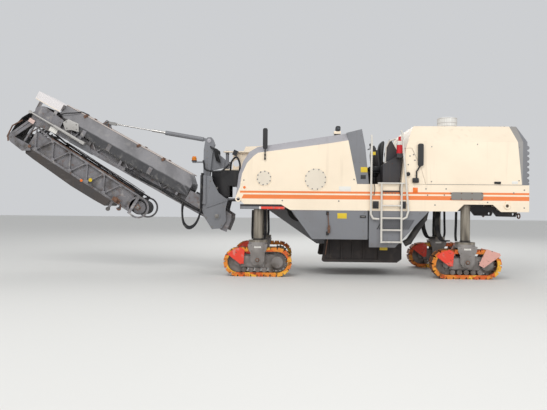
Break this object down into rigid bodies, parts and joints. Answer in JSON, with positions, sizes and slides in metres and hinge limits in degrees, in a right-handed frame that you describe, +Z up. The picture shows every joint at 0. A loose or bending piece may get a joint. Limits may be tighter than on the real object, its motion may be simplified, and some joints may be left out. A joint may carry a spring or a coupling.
{
  "type": "cold planer",
  "caption": "Road milling machine on four crawler track units, with a milling drum between the axles and a folded discharge conveyor at the front.",
  "frame": {"origin": "on the ground, under the middle of the machine's box with the conveyor folded", "axes": "+X forward to the conveyor end, +Y to the machine's left, +Z up"},
  "size_m": [10.5791, 2.5292, 3.7477],
  "materials": {
    "amber": "amber lens",
    "black_plastic": "matt black",
    "body_paint": "cream paint, glossy, worn",
    "dark_paint": "dark grey paint, dusty",
    "grey_paint": "grey paint, satin, worn",
    "pad": "orange shoe pads, scuffed",
    "red_paint": "red, glossy",
    "rod_steel": "chromed rod",
    "rubber_belt": "black rubber, dusty",
    "rusty_steel": "rusty, worn bright at the tips",
    "seat_black": "black imitation leather",
    "tarpaulin": "grey coated cloth"
  },
  "bodies": {
    "chassis": {"chassis_frame": "dark_paint", "slew_bearing": "dark_paint", "front_body": "body_paint", "top_cover": "grey_paint", "rear_body": "body_paint", "platform": "dark_paint", "bulkhead": "grey_paint", "consoles": "dark_paint", "seats": "seat_black", "rails_ladders": "body_paint", "drum_housing": "grey_paint", "collecting_conveyor": "grey_paint", "collecting_belt": "rubber_belt", "engine": "dark_paint", "lamps_mirrors": "black_plastic", "fire_extinguisher": "red_paint", "suction_duct": "rubber_belt", "transfer_hood": "black_plastic"},
    "hood": {"engine_hood": "body_paint", "rear_grille": "grey_paint"},
    "drum": {"milling_drum": "rusty_steel"},
    "side_plate_left": {"side_plate_left": "dark_paint"},
    "side_plate_right": {"side_plate_right": "dark_paint"},
    "scraper": {"scraper_blade": "dark_paint"},
    "slew": {"slew_console": "grey_paint", "beacon": "amber"},
    "lift_barrel": {"lift_cylinder": "grey_paint"},
    "lift_piston": {"lift_rod": "rod_steel"},
    "inner_conveyor": {"inner_frame": "dark_paint", "inner_cover": "tarpaulin", "inner_head_cover": "body_paint", "inner_belt": "rubber_belt", "fold_cylinders": "grey_paint"},
    "outer_conveyor": {"outer_frame": "dark_paint", "outer_cover": "grey_paint", "outer_belt": "rubber_belt", "belt_loop": "rubber_belt"},
    "leg_front_left": {"leg_front_left": "grey_paint"},
    "unit_front_left": {"yoke_front_left": "grey_paint", "track_front_left": "pad"},
    "leg_front_right": {"leg_front_right": "grey_paint"},
    "unit_front_right": {"yoke_front_right": "grey_paint", "track_front_right": "pad"},
    "leg_rear_left": {"leg_rear_left": "grey_paint"},
    "unit_rear_left": {"yoke_rear_left": "grey_paint", "track_rear_left": "pad"},
    "leg_rear_right": {"leg_rear_right": "grey_paint"},
    "unit_rear_right": {"yoke_rear_right": "grey_paint", "track_rear_right": "pad"}
  },
  "joints": [
    {"name": "hood_tilt", "type": "hinge", "parent": "chassis", "child": "hood", "pos_m": [-5.26807, 0, 1.822], "axis": [0, -1, 0], "range_deg": [0, 45]},
    {"name": "drum_spin", "type": "hinge", "parent": "chassis", "child": "drum", "pos_m": [-2.07307, 0, 0.76], "axis": [0, 1, 0], "continuous": true},
    {"name": "side_plate_lift_left", "type": "slide", "parent": "chassis", "child": "side_plate_left", "axis": [0, 0, 1], "range_m": [0, 0.25]},
    {"name": "side_plate_lift_right", "type": "slide", "parent": "chassis", "child": "side_plate_right", "axis": [0, 0, 1], "range_m": [0, 0.25]},
    {"name": "scraper_lift", "type": "slide", "parent": "chassis", "child": "scraper", "axis": [0, 0, 1], "range_m": [0, 0.25]},
    {"name": "leg_lift_front_left", "type": "slide", "parent": "chassis", "child": "leg_front_left", "axis": [0, 0, 1], "range_m": [-0.05, 0.45]},
    {"name": "steer_front_left", "type": "hinge", "parent": "leg_front_left", "child": "unit_front_left", "pos_m": [-0.06307, 1.06, 0.3], "axis": [0, 0, 1], "range_deg": [-25, 25]},
    {"name": "leg_lift_front_right", "type": "slide", "parent": "chassis", "child": "leg_front_right", "axis": [0, 0, 1], "range_m": [-0.05, 0.45]},
    {"name": "steer_front_right", "type": "hinge", "parent": "leg_front_right", "child": "unit_front_right", "pos_m": [-0.06307, -1.06, 0.3], "axis": [0, 0, 1], "range_deg": [-25, 25]},
    {"name": "leg_lift_rear_left", "type": "slide", "parent": "chassis", "child": "leg_rear_left", "axis": [0, 0, 1], "range_m": [-0.05, 0.45]},
    {"name": "steer_rear_left", "type": "hinge", "parent": "leg_rear_left", "child": "unit_rear_left", "pos_m": [-4.08307, 1.06, 0.3], "axis": [0, 0, 1], "range_deg": [-25, 25]},
    {"name": "leg_lift_rear_right", "type": "slide", "parent": "chassis", "child": "leg_rear_right", "axis": [0, 0, 1], "range_m": [-0.05, 0.45]},
    {"name": "steer_rear_right", "type": "hinge", "parent": "leg_rear_right", "child": "unit_rear_right", "pos_m": [-4.08307, -1.06, 0.3], "axis": [0, 0, 1], "range_deg": [-25, 25]},
    {"name": "conveyor_slew", "type": "hinge", "parent": "chassis", "child": "slew", "pos_m": [0.67793, 0, 1.5], "axis": [0, 0, 1], "range_deg": [-60, 60]},
    {"name": "conveyor_lift", "type": "hinge", "parent": "slew", "child": "inner_conveyor", "pos_m": [0.83693, 0, 1.15], "axis": [0, -1, 0], "range_deg": [-23, 2]},
    {"name": "conveyor_fold", "type": "hinge", "parent": "inner_conveyor", "child": "outer_conveyor", "pos_m": [4.7523, 0, 3.10974], "axis": [0, -1, 0], "range_deg": [0, 176], "deforming": ["belt_loop"]},
    {"name": "lift_cylinder_turn", "type": "hinge", "parent": "slew", "child": "lift_barrel", "pos_m": [1.04893, 0, 2.775], "axis": [0, -1, 0], "range_deg": [-25, 3]},
    {"name": "lift_cylinder_stroke", "type": "slide", "parent": "lift_barrel", "child": "lift_piston", "axis": [0.9863, 0, 0.1648], "range_m": [-0.07, 0.68]}
  ],
  "couplings": [
    {"joint": "lift_cylinder_turn", "follows": "conveyor_lift", "ratio": 1.0528},
    {"joint": "lift_cylinder_stroke", "follows": "conveyor_lift", "m_per_rad": -1.6221},
    {"joint": "steer_front_right", "follows": "steer_front_left", "ratio": 1},
    {"joint": "steer_rear_right", "follows": "steer_rear_left", "ratio": 1}
  ]
}
